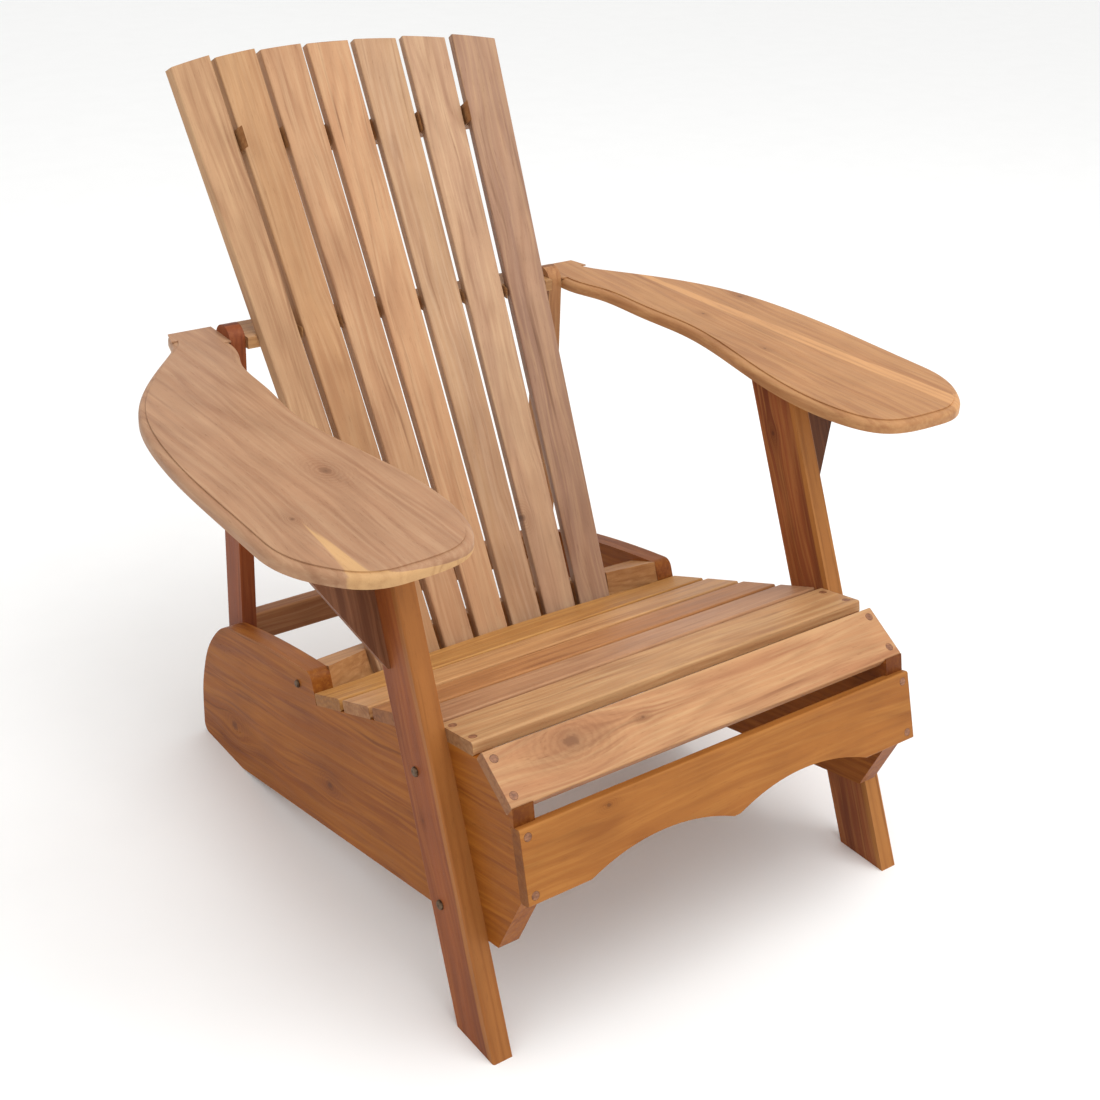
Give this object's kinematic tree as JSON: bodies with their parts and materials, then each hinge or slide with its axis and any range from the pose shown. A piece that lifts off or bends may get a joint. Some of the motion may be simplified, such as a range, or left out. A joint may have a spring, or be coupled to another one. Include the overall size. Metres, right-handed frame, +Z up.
{
  "type": "adirondack chair",
  "caption": "Slatted outdoor armchair with a reclined, fanned and hollowed back, wide paddle arms, leaning front legs and a seat that rolls down over an arched apron.",
  "frame": {"origin": "bottom centre of the whole chair's bounding box, on the ground", "axes": "+Z up, -Y towards the front of the seat, +X towards the sitter's left arm"},
  "size_m": [0.933, 0.9076, 0.9103],
  "materials": {
    "arm_gusset_left": "oiled acacia, satin",
    "arm_gusset_right": "oiled acacia, satin",
    "arm_left": "oiled acacia, satin",
    "arm_right": "oiled acacia, satin",
    "back_rail_arm": "oiled acacia, satin",
    "back_rail_low": "oiled acacia, satin",
    "back_rail_top": "oiled acacia, satin",
    "back_slat_1": "oiled acacia, satin",
    "back_slat_2": "oiled acacia, satin",
    "back_slat_3": "oiled acacia, satin",
    "back_slat_4": "oiled acacia, satin",
    "back_slat_5": "oiled acacia, satin",
    "back_slat_6": "oiled acacia, satin",
    "back_slat_7": "oiled acacia, satin",
    "frame_dowels": "oiled acacia, satin",
    "front_apron": "oiled acacia, satin",
    "front_leg_left": "oiled acacia, satin",
    "front_leg_right": "oiled acacia, satin",
    "rear_post_left": "oiled acacia, satin",
    "rear_post_right": "oiled acacia, satin",
    "rear_stretcher": "oiled acacia, satin",
    "seat_dowels": "oiled acacia, satin",
    "seat_slat_1": "oiled acacia, satin",
    "seat_slat_2": "oiled acacia, satin",
    "seat_slat_3": "oiled acacia, satin",
    "seat_slat_4": "oiled acacia, satin",
    "seat_slat_5": "oiled acacia, satin",
    "seat_waterfall_slat": "oiled acacia, satin",
    "side_board_left": "oiled acacia, satin",
    "side_board_right": "oiled acacia, satin",
    "wood_plugs": "oiled acacia, satin",
    "bolt_metal": "weathered zinc plate",
    "screw_metal": "yellow zinc plate"
  },
  "bodies": {
    "root": {"arm_gusset_left": "arm_gusset_left", "arm_gusset_right": "arm_gusset_right", "arm_left": "arm_left", "arm_right": "arm_right", "arm_tail_screws": "screw_metal", "back_rail_arm": "back_rail_arm", "back_rail_low": "back_rail_low", "back_rail_top": "back_rail_top", "back_slat_1": "back_slat_1", "back_slat_2": "back_slat_2", "back_slat_3": "back_slat_3", "back_slat_4": "back_slat_4", "back_slat_5": "back_slat_5", "back_slat_6": "back_slat_6", "back_slat_7": "back_slat_7", "back_slat_screws": "screw_metal", "frame_dowels": "frame_dowels", "front_apron": "front_apron", "front_leg_left": "front_leg_left", "front_leg_right": "front_leg_right", "leg_bolts": "bolt_metal", "leg_nuts": "bolt_metal", "leg_washers": "bolt_metal", "low_rail_bolts": "bolt_metal", "post_bolts": "bolt_metal", "rear_post_left": "rear_post_left", "rear_post_right": "rear_post_right", "rear_stretcher": "rear_stretcher", "seat_dowels": "seat_dowels", "seat_screws": "screw_metal", "seat_slat_1": "seat_slat_1", "seat_slat_2": "seat_slat_2", "seat_slat_3": "seat_slat_3", "seat_slat_4": "seat_slat_4", "seat_slat_5": "seat_slat_5", "seat_waterfall_slat": "seat_waterfall_slat", "side_board_left": "side_board_left", "side_board_right": "side_board_right", "wood_plugs": "wood_plugs"}
  },
  "joints": []
}
